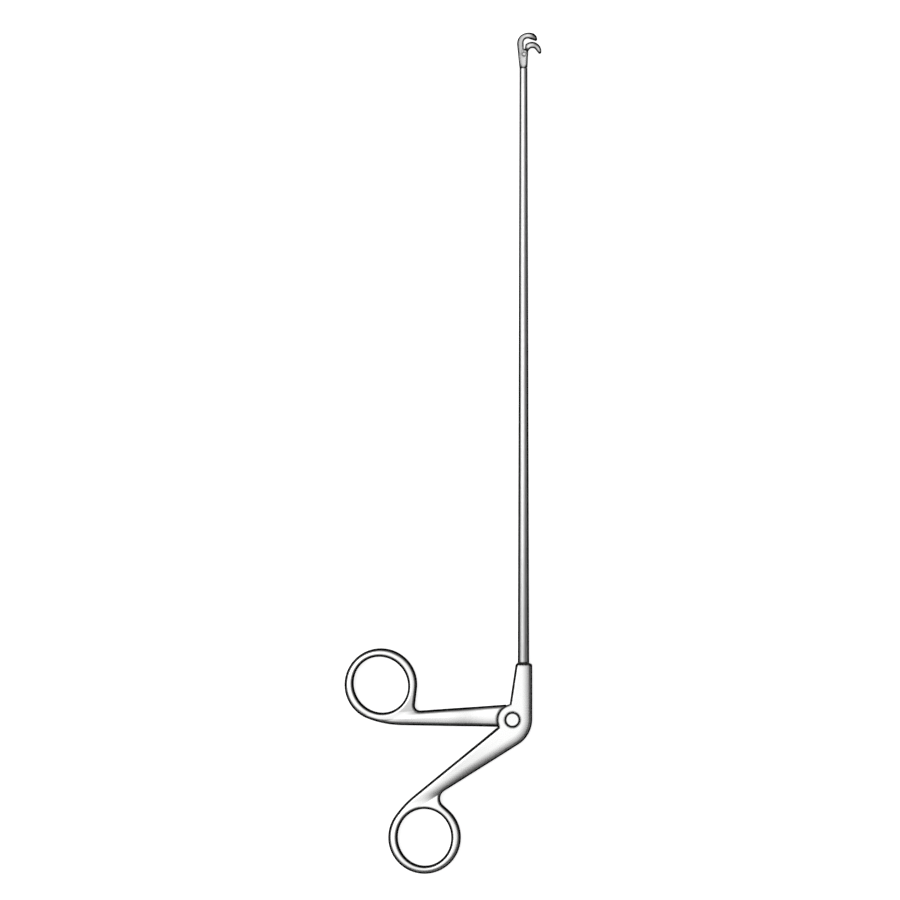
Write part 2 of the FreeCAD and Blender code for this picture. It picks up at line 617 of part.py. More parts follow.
def lever_slot(body):
    """The slot that the lever's tang swings in: a round pocket with a mouth to the ear side."""
    out = Outline(body, "slot_outline")
    wide = worth(SLOT_RADIUS)
    floor = worth("Sizes.finger_low_offset + Sizes.slot_play")
    way = worth(FINGER_LOW_TURN + " + Sizes.lever_swing + Sizes.slot_overrun")
    low = way - math.degrees(math.acos(floor / wide))
    top = 100.0
    far_low = polar(floor, way) + polar(CLEAR, way - 90)
    pocket = out.arc(spot(0, 0), wide, low, top + 360)
    lip = out.line(polar(wide, top), spot(far_low.x, polar(wide, top).y))
    outside = out.line(spot(far_low.x, polar(wide, top).y), far_low)
    bed = out.line(far_low, polar(wide, low))
    out.meet(pocket, 2, lip, 1)
    out.meet(lip, 2, outside, 1)
    out.meet(outside, 2, bed, 1)
    out.meet(bed, 2, pocket, 1)
    out.meet(pocket, 3, -1, 1)
    out.size("Radius", pocket, SLOT_RADIUS)
    out.tie("Horizontal", lip)
    out.tie("Vertical", outside)
    out.size("DistanceX", -1, 1, lip, 1, SLOT_RADIUS + " * cos(100 deg)")
    out.size("Angle", bed, FINGER_LOW_TURN + " - 270 + Sizes.lever_swing + Sizes.slot_overrun")
    out.size("Distance", -1, 1, bed, "Sizes.finger_low_offset + Sizes.slot_play")
    out.size("DistanceX", -1, 1, lip, 2, "-Sizes.ear_radius - %s" % CLEAR)
    cut(body, out, "lever_slot", "2 * " + SLOT_HALF)


def shaft_bores(body):
    """Seat of the shaft and the narrower bore of the clevis, from the front face."""
    out = Outline(body, "bore_outline")
    out.shift("Sizes.shaft_offset", "0")
    wide = "Sizes.shaft_rear_radius + Sizes.seat_play"
    narrow = "Sizes.clevis_radius + Sizes.clevis_play"
    deep = CRANK_PIN_Y + " - Sizes.clevis_radius - 2 * Sizes.slot_play"
    seat = "Sizes.housing_length - Sizes.shaft_seat"
    mouth = "Sizes.housing_length + 1"
    out.loop((("0", deep), (narrow, deep), (narrow, seat), (wide, seat), (wide, mouth), ("0", mouth)))
    bore(body, out, "shaft_seat")


def pivot_bores(body):
    """Bore, counterbore and countersink of the pivot through both cheeks."""
    out = Outline(body, "pivot_outline", "XZ_Plane")
    shank = "Sizes.barrel_radius + Sizes.seat_play"
    head = "Sizes.barrel_head_radius + Sizes.head_gap"
    top = MIDDLE
    head_floor = MIDDLE + " - Sizes.barrel_head_height - Sizes.seat_play"
    cone = "Sizes.screw_head_radius + Sizes.screw_head_sink"
    cone_top = "-" + MIDDLE + " + Sizes.cheek - Sizes.barrel_reach - Sizes.seat_play"
    below = "-(" + MIDDLE + ") - 1"
    face = "-" + MIDDLE
    out.loop((("0", below), (cone, below), (cone, face), (shank, cone_top),
              (shank, head_floor), (head, head_floor), (head, top + " + 1"), ("0", top + " + 1")))
    bore(body, out, "pivot_bore")


def thumb_handle():
    """Housing with its two cheeks, thumb arm and thumb ring, one forging."""
    body = new_body("thumb_handle")
    pad(body, thumb_outline(body), "thumb_blank", "Sizes.handle_thickness + 2")
    thinning(body, "thumb_taper", "YZ_Plane", "-Sizes.thumb_taper_start", "-Sizes.thumb_taper_end",
             MIDDLE, "Sizes.ring_thickness / 2", "-Sizes.thumb_drop - %s" % (2 * CLEAR))
    ring_bore(body, "thumb_bore", "-Sizes.thumb_back", "-Sizes.thumb_drop", "Sizes.thumb_bore_tilt")
    front = worth("Sizes.housing_length")
    ear = worth("Sizes.ear_radius")

    def on_ear(point):
        return abs(math.hypot(point.x, point.y) - ear) < 0.01

    def on_front(point):
        return point.y > front - 0.01

    def elsewhere(point):
        return not on_front(point) and not on_ear(point)

    soften(body, "thumb_rounding", rim_edges(body.Shape, elsewhere), HANDLE_ROUND)
    break_edges(body, "front_break", rim_edges(body.Shape, on_front), "Sizes.edge_break")
    lever_slot(body)
    shaft_bores(body)
    pivot_bores(body)
    return body


def crank(body):
    """The short arm that carries the crank pin, between the clevis ears."""
    arm = Outline(body, "crank_outline")
    arm.shift("0", "0", "-" + LEAD)
    arm.bar(("0", "0"), ("Sizes.crank_radius", "0"), "Sizes.crank_end_radius")
    pad(body, arm, "crank_arm", "Sizes.crank_thickness")
    holes = Outline(body, "crank_holes")
    holes.shift("0", "0", "-" + LEAD)
    holes.circle("Sizes.crank_radius", "0", "Sizes.crank_pin_radius + Sizes.crank_pin_play")
    cut(body, holes, "crank_pin_hole")
    pivot = Outline(body, "pivot_hole")
    pivot.circle("0", "0", "Sizes.barrel_radius + Sizes.running_play")
    cut(body, pivot, "pivot_bore")


def finger_lever():
    """Finger ring, arm, flat tang and crank, one forging."""
    body = new_body("finger_lever")
    pad(body, finger_outline(body), "finger_blank", "Sizes.ring_thickness + 2")
    thinning(body, "finger_taper", "XZ_Plane", "-Sizes.finger_taper_start", "-Sizes.finger_taper_end",
             TANG_HALF, "Sizes.ring_thickness / 2", "-Sizes.finger_back - %s" % (2 * CLEAR))
    ring_bore(body, "finger_bore", "-Sizes.finger_back", "Sizes.finger_rise", "Sizes.finger_bore_tilt")
    tang = worth("Sizes.tang_back")

    def wanted(point):
        return point.x < -tang

    soften(body, "finger_rounding", rim_edges(body.Shape, wanted), HANDLE_ROUND)
    crank(body)
    return body


def pivot_barrel():
    """Flush plain head on the upper cheek, shank through the lever, tapped from below."""
    body = new_body("pivot_barrel")
    out = Outline(body, "barrel_outline", "XZ_Plane")
    top = MIDDLE
    head_floor = MIDDLE + " - Sizes.barrel_head_height"
    low = "-" + MIDDLE + " + Sizes.cheek - Sizes.barrel_reach"
    inner = "Sizes.screw_radius + Sizes.seat_play"
    tapped = MIDDLE + " - 2 * Sizes.barrel_head_height"
    out.loop(((inner, low), ("Sizes.barrel_radius", low), ("Sizes.barrel_radius", head_floor),
              ("Sizes.barrel_head_radius", head_floor),
              ("Sizes.barrel_head_radius", top + " - Sizes.seat_play"),
              ("0", top + " - Sizes.seat_play"), ("0", tapped), (inner, tapped)))
    turn(body, out, "barrel")
    return body


def pivot_screw():
    """Countersunk slotted screw that closes the pivot from the underside."""
    body = new_body("pivot_screw")
    out = Outline(body, "screw_outline", "XZ_Plane")
    face = "-" + MIDDLE + " + Sizes.screw_head_sink"
    cone_top = "-" + MIDDLE + " + Sizes.cheek - Sizes.barrel_reach - Sizes.seat_play"
    tip = MIDDLE + " - 2 * Sizes.barrel_head_height - Sizes.screw_head_sink"
    narrow = "Sizes.barrel_radius - Sizes.seat_play"
    out.loop((("0", face), ("Sizes.screw_head_radius", face), (narrow, cone_top),
              ("Sizes.screw_radius", cone_top), ("Sizes.screw_radius", tip), ("0", tip)))
    turn(body, out, "screw")
    slot = Outline(body, "driver_slot", "XZ_Plane")
    half = "Sizes.screw_slot / 2"
    deep = "-" + MIDDLE + " + Sizes.screw_head_sink + 0.75 * Sizes.screw_slot"
    below = "-" + MIDDLE + " - 1"
    slot.loop((("-" + half, below), (half, below), (half, deep), ("-" + half, deep)))
    cut(body, slot, "driver_slot_cut")
    return body


def clevis():
    """Fork on the push rod that carries the crank pin, bored for the rod."""
    body = new_body("rod_clevis", "Sizes.shaft_offset")
    out = Outline(body, "clevis_outline")
    low = CRANK_PIN_Y + " - Sizes.clevis_radius"
    top = CRANK_PIN_Y + " + Sizes.clevis_height"
    wide = "Sizes.clevis_radius"
    bevel = "0.2 * Sizes.clevis_radius"
    out.loop((("0", low), (wide, low), (wide, top + " - " + bevel), (wide + " - " + bevel, top), ("0", top)))
    turn(body, out, "clevis_blank")
    fork = Outline(body, "fork_outline", "YZ_Plane")
    half = "Sizes.crank_thickness / 2 + Sizes.running_play"
    root = CRANK_PIN_Y + " + Sizes.fork_depth"
    fork.loop(((low + " - 1", "-(" + half + ")"), (root, "-(" + half + ")"),
               (root, half), (low + " - 1", half)))
    cut(body, fork, "fork_cut")
    cross = Outline(body, "clevis_cross_hole")
    cross.circle("Sizes.crank_radius * cos(Sizes.lever_swing * 0.5 deg) - Sizes.shaft_offset", CRANK_PIN_Y,
                 "Sizes.crank_pin_radius + Sizes.seat_play")
    cut(body, cross, "clevis_pin_hole")
    thread = Outline(body, "clevis_thread_hole")
    reach = "Sizes.rod_radius + Sizes.seat_play"
    floor = top + " - Sizes.thread_depth - Sizes.seat_play"
    thread.loop((("0", floor), (reach, floor), (reach, top + " + 1"), ("0", top + " + 1")))
    bore(body, thread, "clevis_thread")
    return body


def crank_pin():
    """Pin through the clevis ears and the crank."""
    body = new_body("crank_pin", "Sizes.crank_radius * cos(Sizes.lever_swing * 0.5 deg)", CRANK_PIN_Y)
    out = Outline(body, "crank_pin_outline")
    out.circle("0", "0", "Sizes.crank_pin_radius")
    pad(body, out, "crank_pin_round",
        "2 * (Sizes.clevis_radius - Sizes.crank_pin_play - 0.3 * Sizes.crank_pin_radius)")
    return body


def lock_nut():
    """Hexagon nut that locks the push rod in its clevis."""
    body = new_body("clevis_lock_nut", "Sizes.shaft_offset",
                    CRANK_PIN_Y + " + Sizes.clevis_height + Sizes.seat_play + Sizes.nut_height / 2")
    out = Outline(body, "nut_outline", "XZ_Plane")
    corners = []
    for number in range(6):
        reach = "Sizes.nut_across / 2 / cos(30 deg)"
        corners.append(("%s * cos(%d deg)" % (reach, 60 * number), "%s * sin(%d deg)" % (reach, 60 * number)))
    out.loop(corners)
    pad(body, out, "nut_blank", "Sizes.nut_height")
    hole = Outline(body, "nut_hole", "XZ_Plane")
    hole.circle("0", "0", "Sizes.rod_radius + Sizes.seat_play")
    cut(body, hole, "nut_bore")
    return body


def taper_radius(along):
    """Outer radius of the shaft at a rule for the place along it."""
    share = "((%s - Sizes.housing_length) / Sizes.shaft_length)" % along
    return "(Sizes.shaft_rear_radius + (Sizes.shaft_front_radius - Sizes.shaft_rear_radius) * %s)" % share


def shaft_tube():
    """Long tapered tube, parallel where it sits in the housing."""
    body = new_body("shaft_tube", "Sizes.shaft_offset")
    out = Outline(body, "shaft_outline")
    low = "Sizes.housing_length - Sizes.shaft_seat + Sizes.seat_play"
    face = "Sizes.housing_length"
    wide = "Sizes.shaft_rear_radius"
    narrow = "Sizes.shaft_front_radius"
    edge = "Sizes.shaft_wall / 3"
    out.loop(((wide + " - Sizes.shaft_wall", low), (wide, low), (wide, face),
              (narrow, SHAFT_END + " - " + edge), (narrow + " - " + edge, SHAFT_END),
              (narrow + " - Sizes.shaft_wall", SHAFT_END), (wide + " - Sizes.shaft_wall", face)))
    turn(body, out, "shaft")
    return body


def solder_bead():
    """Soldered fillet round the shaft on the front face of the housing."""
    body = new_body("shaft_solder_bead", "Sizes.shaft_offset", "Sizes.housing_length")
    out = Outline(body, "solder_outline")
    high = worth("Sizes.solder_height")
    inner = worth("Sizes.shaft_rear_radius + Sizes.seat_play")
    foot = out.line(spot(inner, 0), spot(inner + high, 0))
    hollow = out.arc(spot(inner + high, high), high, 180, 270)
    wall = out.line(spot(inner, high), spot(inner, 0))
    out.meet(foot, 2, hollow, 2)
    out.meet(hollow, 1, wall, 1)
    out.meet(wall, 2, foot, 1)
    out.tie("Horizontal", foot)
    out.tie("Vertical", wall)
    out.at(foot, 1, "Sizes.shaft_rear_radius + Sizes.seat_play", "0")
    out.size("Distance", foot, "Sizes.solder_height")
    out.size("Distance", wall, "Sizes.solder_height")
    out.size("Radius", hollow, "Sizes.solder_height")
    turn(body, out, "solder")
    return body


def guide_bush(number, name):
    """Bush that holds the push rod in line inside the tapered shaft."""
    place = "(Sizes.housing_length + Sizes.bush_first + %d * Sizes.bush_pitch)" % number
    body = new_body(name, "Sizes.shaft_offset", place)
    out = Outline(body, "bush_outline")
    rear = taper_radius(place) + " - Sizes.shaft_wall - Sizes.seat_play"
    front = taper_radius("(%s + Sizes.bush_length)" % place) + " - Sizes.shaft_wall - Sizes.seat_play"
    out.loop(((ROD_BORE, "0"), (rear, "0"), (front, "Sizes.bush_length"), (ROD_BORE, "Sizes.bush_length")))
    turn(body, out, "bush")
    return body


def push_rod():
    """Long rod, screwed into the clevis, with a flat drilled end between the jaw's leaves."""
    body = new_body("push_rod", "Sizes.shaft_offset")
    out = Outline(body, "rod_outline")
    low = CRANK_PIN_Y + " + Sizes.clevis_height - Sizes.thread_depth"
    high = SHAFT_END + " + " + BLADE_START
    out.loop((("0", low), ("Sizes.rod_radius", low), ("Sizes.rod_radius", high), ("0", high)))
    turn(body, out, "rod")
    blade = Outline(body, "blade_outline")
    blade.bar(("0", high), ("0", SHAFT_END + " + Sizes.jaw_pin_rise"), "Sizes.blade_width / 2")
    pad(body, blade, "blade", "2 * Sizes.blade_half")
    eye = Outline(body, "blade_eye")
    eye.circle("0", SHAFT_END + " + Sizes.jaw_pin_rise", "Sizes.jaw_pin_radius + Sizes.seat_play")
    cut(body, eye, "blade_hole")
    return body


def drive_pin():
    """Cross pin of the push rod that rides in the cam slots."""
    body = new_body("jaw_drive_pin", "Sizes.shaft_offset", SHAFT_END + " + Sizes.jaw_pin_rise")
    out = Outline(body, "drive_pin_outline")
    out.circle("0", "0", "Sizes.jaw_pin_radius")
    pad(body, out, "drive_pin", "2 * (Sizes.channel_half - Sizes.running_play)")
    return body


def jaw_rivet():
    """Rivet the moving jaw turns on, filed flush with both cheeks."""
    body = new_body("jaw_rivet", "Sizes.shaft_offset + Sizes.jaw_pivot_side",
                    SHAFT_END + " + Sizes.jaw_pivot_rise")
    out = Outline(body, "rivet_outline")
    out.circle("0", "0", "Sizes.rivet_radius")
    pad(body, out, "rivet", "2 * Sizes.tip_half")
    return body


def fixed_outline(body):
    """Side view of the jaw piece: cheeks, back, arch and inner face of the fixed jaw."""
    out = Outline(body, "fixed_outline")
    foot = worth("Sizes.tip_half")
    pivot = spot(worth("Sizes.jaw_pivot_side"), worth("Sizes.jaw_pivot_rise"))
    cheek = worth("Sizes.cheek_arc")
    arch = spot(worth("Sizes.arch_side"), worth("Sizes.arch_rise"))
    root = worth("Sizes.root_arch_radius")
    crown = worth("Sizes.top_arch_radius")
    nose = worth("Sizes.nose_radius")
    throat = worth("Sizes.throat_radius")
    throat_centre = spot(worth("Sizes.throat_side + Sizes.throat_radius"), worth("Sizes.throat_rise"))
    slope = worth("Sizes.throat_angle")
    end = worth("Sizes.tip_end_radius")
    root_turn = 115.0
    crown_turn = 75.0

    back_low = spot(-foot, 0)
    reach = (arch - back_low).Length
    root_low = bearing(arch, back_low) - math.degrees(math.acos(root / reach))
    crown_centre = polar(root - crown, root_turn, arch)
    nose_centre = polar(crown - nose, crown_turn, crown_centre)
    normal = polar(1, 90 - slope)
    face = normal.dot(throat_centre) + throat
    away = face + end - normal.dot(nose_centre)
    along = polar(1, -slope)
    end_centre = nose_centre + normal * away + along * math.sqrt((nose - end) ** 2 - away ** 2)
    end_turn = bearing(nose_centre, end_centre)
    right = spot(worth("Sizes.tip_half + Sizes.tip_swell"),
                 worth("Sizes.jaw_pivot_rise + Sizes.cheek_arc / 2"))
    side = right.x - pivot.x
    right_top = spot(right.x, pivot.y + math.sqrt(cheek ** 2 - side ** 2))
    notch_turn = math.degrees(math.acos((worth("Sizes.throat_side") - pivot.x) / cheek))

    base = out.line(back_low, spot(foot, 0))
    front = out.line(spot(foot, 0), right_top)
    cheeks = out.arc(pivot, cheek, bearing(pivot, right_top), notch_turn)
    inner = out.line(polar(cheek, notch_turn, pivot), spot(worth("Sizes.throat_side"), throat_centre.y))
    bend = out.arc(throat_centre, throat, 90 - slope, 180)
    under = out.line(polar(throat, 90 - slope, throat_centre), polar(end, 270 - slope, end_centre))
    tip = out.arc(end_centre, end, 270 - slope, end_turn + 360)
    nose_arc = out.arc(nose_centre, nose, end_turn, crown_turn)
    crown_arc = out.arc(crown_centre, crown, crown_turn, root_turn)
    root_arc = out.arc(arch, root, root_turn, root_low)
    back = out.line(polar(root, root_low, arch), back_low)

    out.meet(base, 2, front, 1)
    out.meet(front, 2, cheeks, 1)
    out.meet(cheeks, 2, inner, 1)
    out.flow(inner, 2, bend, 2)
    out.flow(bend, 1, under, 1)
    out.flow(under, 2, tip, 1)
    out.flow(tip, 2, nose_arc, 1)
    out.flow(nose_arc, 2, crown_arc, 1)
    out.flow(crown_arc, 2, root_arc, 1)
    out.flow(root_arc, 2, back, 1)
    out.meet(back, 2, base, 1)
    out.tie("Horizontal", base)
    out.at(base, 1, "-Sizes.tip_half", "0")
    out.size("DistanceX", -1, 1, base, 2, "Sizes.tip_half")
    out.size("DistanceX", -1, 1, front, 2, "Sizes.tip_half + Sizes.tip_swell")
    out.at(cheeks, 3, "Sizes.jaw_pivot_side", "Sizes.jaw_pivot_rise")
    out.size("Radius", cheeks, "Sizes.cheek_arc")
    out.tie("Vertical", inner)
    out.size("DistanceX", -1, 1, inner, 1, "Sizes.throat_side")
    out.size("DistanceY", -1, 1, bend, 3, "Sizes.throat_rise")
    out.size("Radius", bend, "Sizes.throat_radius")
    out.size("Angle", under, "-Sizes.throat_angle")
    out.size("Radius", tip, "Sizes.tip_end_radius")
    out.size("Radius", nose_arc, "Sizes.nose_radius")
    out.size("Radius", crown_arc, "Sizes.top_arch_radius")
    out.size("Radius", root_arc, "Sizes.root_arch_radius")
    out.at(root_arc, 3, "Sizes.arch_side", "Sizes.arch_rise")
    out.size("DistanceX", -1, 1, crown_arc, 3, "Sizes.arch_side + (Sizes.root_arch_radius - "
             "Sizes.top_arch_radius) * cos(115 deg)")
    out.size("DistanceX", -1, 1, nose_arc, 3, "Sizes.arch_side + (Sizes.root_arch_radius - "
             "Sizes.top_arch_radius) * cos(115 deg) + "
             "(Sizes.top_arch_radius - Sizes.nose_radius) * cos(75 deg)")
    return out


def jaw_taper(body, name, start, end, root):
    """Narrows a jaw smoothly towards its end, seen along the shaft."""
    thinning(body, name, "XZ_Plane", end, start, "Sizes.jaw_tip_half", root, "-%s" % CLEAR)


def jaw_channel(body):
    """Channel between the cheeks for the moving jaw's leaves and hub, open to the spine side."""
    out = Outline(body, "channel_outline")
    pivot = spot(worth("Sizes.jaw_pivot_side"), worth("Sizes.jaw_pivot_rise"))
    wall = -worth("Sizes.channel_wall")
    floor = worth("Sizes.channel_floor")
    hub = worth("Sizes.jaw_pivot_side + Sizes.channel_wall")
    lip = 97.0
    past = worth("Sizes.cheek_arc + 0.7")
    top = polar(past, lip, pivot)
    bed = out.line(spot(wall, floor), spot(CLEAR / 2, floor))
    mouth = out.line(spot(CLEAR / 2, floor), spot(CLEAR / 2, top.y))
    over = out.line(spot(CLEAR / 2, top.y), top)
    ray = out.line(top, polar(hub, lip, pivot))
    round_hub = out.arc(pivot, hub, lip, 180)
    back = out.line(spot(wall, pivot.y), spot(wall, floor))
    out.meet(bed, 2, mouth, 1)
    out.meet(mouth, 2, over, 1)
    out.meet(over, 2, ray, 1)
    out.meet(ray, 2, round_hub, 1)
    out.flow(round_hub, 2, back, 1)
    out.meet(back, 2, bed, 1)
    out.tie("Horizontal", bed)
    out.tie("Vertical", mouth)
    out.tie("Horizontal", over)
    out.tie("Vertical", back)
    out.at(bed, 1, "-Sizes.channel_wall", "Sizes.channel_floor")
    out.size("DistanceX", -1, 1, bed, 2, str(CLEAR / 2))
    out.at(round_hub, 3, "Sizes.jaw_pivot_side", "Sizes.jaw_pivot_rise")
    out.at(over, 2, "Sizes.jaw_pivot_side + (Sizes.cheek_arc + 0.7) * cos(97 deg)",
           "Sizes.jaw_pivot_rise + (Sizes.cheek_arc + 0.7) * sin(97 deg)")
    out.size("Angle", ray, str(lip - 180))
    cut(body, out, "jaw_channel", "2 * Sizes.channel_half")


def fixed_jaw():
    """Jaw piece at the end of the shaft: spigot, cheeks and the fixed jaw."""
    body = new_body("fixed_jaw", "Sizes.shaft_offset", SHAFT_END)
    pad(body, fixed_outline(body), "fixed_blank", "2 * Sizes.tip_half + 1")
    jaw_taper(body, "fixed_taper", "Sizes.tip_half + Sizes.tip_swell",
              "Sizes.arch_side + Sizes.root_arch_radius", "Sizes.tip_half")
    base = worth(SHAFT_END)

    def wanted(point):
        return point.y > base + 0.01

    soften(body, "fixed_rounding", rim_edges(body.Shape, wanted), JAW_ROUND)
    trim = Outline(body, "base_trim")
    edge = "Sizes.tip_half"
    trim.loop(((edge, "0"), (edge + " + 2", "0"), (edge + " + 2", "4")))
    bore(body, trim, "base_round")
    peg = Outline(body, "spigot_outline")
    peg.loop((("0", "-Sizes.spigot_length"), (SPIGOT_RADIUS, "-Sizes.spigot_length"),
              (SPIGOT_RADIUS, "Sizes.channel_floor / 2"), ("0", "Sizes.channel_floor / 2")))
    turn(body, peg, "spigot")
    way = Outline(body, "rod_way")
    way.loop((("0", "-Sizes.spigot_length - 1"), (ROD_BORE, "-Sizes.spigot_length - 1"),
              (ROD_BORE, "Sizes.channel_floor + 0.1"), ("0", "Sizes.channel_floor + 0.1")))
    bore(body, way, "rod_bore")
    jaw_channel(body)
    hole = Outline(body, "rivet_hole")
    hole.circle("Sizes.jaw_pivot_side", "Sizes.jaw_pivot_rise", "Sizes.rivet_radius + Sizes.seat_play")
    cut(body, hole, "rivet_bore")
    return body


def hook_outline(body):
    """Side view of the moving jaw outside the cheeks, from its neck to its end."""
    out = Outline(body, "hook_outline")
    pivot = spot(worth("Sizes.jaw_pivot_side"), worth("Sizes.jaw_pivot_rise"))
    neck = worth("Sizes.cheek_arc + Sizes.neck_gap")
    left_turn = worth(NECK_LEFT)
    outer_centre = spot(worth("Sizes.hook_side"), worth("Sizes.hook_rise"))
    outer = worth("Sizes.hook_radius")
    inner_centre = spot(worth("Sizes.hollow_side"), worth("Sizes.hollow_rise"))
    inner = worth("Sizes.hollow_radius")
    end = worth("Sizes.hook_end_radius")
    end_turn = -worth("Sizes.hook_end_angle")

    neck_left = polar(neck, left_turn, pivot)
    ray = polar(1, left_turn)
    offset = pivot - outer_centre
    along = -offset.dot(ray) + math.sqrt(offset.dot(ray) ** 2 - offset.dot(offset) + outer ** 2)
    top_left = polar(along, left_turn, pivot)
    end_centre = polar(outer - end, end_turn, outer_centre)
    gap = (inner_centre - pivot).Length
    swing = math.degrees(math.acos((neck ** 2 + gap ** 2 - inner ** 2) / (2 * neck * gap)))
    neck_right = polar(neck, bearing(pivot, inner_centre) + swing, pivot)
    span = (end_centre - inner_centre).Length
    facing = bearing(inner_centre, end_centre)
    touch = facing + math.degrees(math.acos((inner + end) / span))

    left = out.line(neck_left, top_left)
    back = out.arc(outer_centre, outer, end_turn, bearing(outer_centre, top_left))
    tip = out.arc(end_centre, end, touch + 180, end_turn + 360)
    inside = out.line(polar(end, touch + 180, end_centre), polar(inner, touch, inner_centre))
    hollow = out.arc(inner_centre, inner, touch, bearing(inner_centre, neck_right))
    shoulder = out.arc(pivot, neck, bearing(pivot, neck_right), left_turn)

    out.meet(shoulder, 2, left, 1)
    out.meet(left, 2, back, 2)
    out.flow(back, 1, tip, 2)
    out.flow(tip, 1, inside, 1)
    out.flow(inside, 2, hollow, 1)
    out.meet(hollow, 2, shoulder, 1)
    out.at(shoulder, 3, "Sizes.jaw_pivot_side", "Sizes.jaw_pivot_rise")
    out.size("Radius", shoulder, "Sizes.cheek_arc + Sizes.neck_gap")
    out.size("Angle", left, NECK_LEFT)
    out.tie("PointOnObject", shoulder, 3, left)
    out.at(back, 3, "Sizes.hook_side", "Sizes.hook_rise")
    out.size("Radius", back, "Sizes.hook_radius")
    out.at(hollow, 3, "Sizes.hollow_side", "Sizes.hollow_rise")
    out.size("Radius", hollow, "Sizes.hollow_radius")
    out.size("Radius", tip, "Sizes.hook_end_radius")
    out.size("DistanceY", -1, 1, tip, 3, "Sizes.hook_rise - (Sizes.hook_radius - Sizes.hook_end_radius)"
             " * sin(Sizes.hook_end_angle * 1 deg)")
    return out


def neck_outline(body):
    """Wedge from the rivet to the moving jaw, between the cheeks."""
    out = Outline(body, "neck_outline")
    pivot = spot(worth("Sizes.jaw_pivot_side"), worth("Sizes.jaw_pivot_rise"))
    reach = worth("Sizes.cheek_arc + 3 * Sizes.neck_gap")
    low = worth("Sizes.neck_low_turn")
    high = worth(NECK_LEFT)
    out_line = out.line(pivot, polar(reach, low, pivot))
    rim = out.arc(pivot, reach, low, high)
    back_line = out.line(polar(reach, high, pivot), pivot)
    out.meet(out_line, 2, rim, 1)
    out.meet(rim, 2, back_line, 1)
    out.meet(back_line, 2, out_line, 1)
    out.meet(rim, 3, out_line, 1)
    out.at(out_line, 1, "Sizes.jaw_pivot_side", "Sizes.jaw_pivot_rise")
    out.size("Radius", rim, "Sizes.cheek_arc + 3 * Sizes.neck_gap")
    out.size("Angle", out_line, "Sizes.neck_low_turn")
    out.size("Angle", back_line, NECK_LEFT + " - 180")
    return out


def tang_outline(body):
    """Tang of the moving jaw: one round end on the rivet and one at each end of the cam slot."""
    out = Outline(body, "tang_outline")
    places = (
        (("0", "Sizes.jaw_pin_rise"), LEAF_RADIUS),
        (("Sizes.jaw_pivot_side", "Sizes.jaw_pivot_rise"), "Sizes.jaw_hub_radius"),
        ((CAM_END_X, CAM_END_Y), LEAF_RADIUS),
    )
    rounds = [(spot(worth(x), worth(y)), worth(radius)) for (x, y), radius in places]
    leans = []
    for (here, wide), (there, narrow) in zip(rounds, rounds[1:] + rounds[:1]):
        tip = math.degrees(math.asin((wide - narrow) / (there - here).Length))
        leans.append(bearing(here, there) - 90 + tip)
    sides = []
    for lean, (here, wide), (there, narrow) in zip(leans, rounds, rounds[1:] + rounds[:1]):
        sides.append(out.line(polar(wide, lean, here), polar(narrow, lean, there)))
    ends = []
    for before, after, (here, wide) in zip(leans[-1:] + leans[:-1], leans, rounds):
        ends.append(out.arc(here, wide, before, before + (after - before) % 360))
    for end, before, after in zip(ends, sides[-1:] + sides[:-1], sides):
        out.flow(before, 2, end, 1)
        out.flow(end, 2, after, 1)
    for end, ((x, y), radius) in zip(ends, places):
        out.at(end, 3, x, y)
        out.size("Radius", end, radius)
    return out


def moving_jaw():
    """Hooked jaw with a forked tang: hub on the rivet and two leaves with cam slots."""
    body = new_body("moving_jaw", "Sizes.shaft_offset", SHAFT_END)
    pad(body, hook_outline(body), "hook_blank", "2 * Sizes.jaw_half + 1")
    jaw_taper(body, "hook_taper", "Sizes.jaw_pivot_side + Sizes.cheek_arc",
              "Sizes.hook_side + Sizes.hook_radius", "Sizes.jaw_half")
    pivot = spot(worth("Sizes.jaw_pivot_side"), worth("Sizes.jaw_pivot_rise"))
    neck = worth("Sizes.cheek_arc + Sizes.neck_gap")
    left = worth(NECK_LEFT)

    def wanted(point):
        place = point - body.Placement.Base
        far = (spot(place.x, place.y) - pivot).Length > neck + 0.05
        return far and bearing(pivot, place) < left - 1

    soften(body, "hook_rounding", rim_edges(body.Shape, wanted), JAW_ROUND)
    thick = "2 * (Sizes.channel_half - Sizes.running_play)"
    pad(body, neck_outline(body), "neck", thick)
    pad(body, tang_outline(body), "tang", thick)
    gap = Outline(body, "fork_outline")
    top = "Sizes.jaw_pin_rise + " + ROD_TRAVEL + " + Sizes.blade_width / 2 + Sizes.slot_play"
    gap.loop((("-4", "-4"), ("4", "-4"), ("4", top), ("-4", top)))
    cut(body, gap, "fork_gap", "2 * (Sizes.blade_half + Sizes.running_play)")
    cam = Outline(body, "cam_outline")
    cam.bar(("0", "Sizes.jaw_pin_rise"), (CAM_END_X, CAM_END_Y), CAM_RADIUS)
    cut(body, cam, "cam_slots")
    hole = Outline(body, "rivet_hole")
    hole.circle("Sizes.jaw_pivot_side", "Sizes.jaw_pivot_rise", "Sizes.rivet_radius + Sizes.running_play")
    cut(body, hole, "rivet_bore")
    return body


def check(bodies):
    """Stops on any failed object or broken solid."""
    for item in doc.Objects:
        if "Invalid" in item.State or "Error" in item.State:
            raise RuntimeError(item.Name + " failed")
    for body in bodies:
        if body.Shape.isNull() or not body.Shape.isValid():
            raise RuntimeError(body.Label + " has no sound shape")
        if len(body.Shape.Solids) != 1:
            raise RuntimeError(body.Label + " is not one solid")


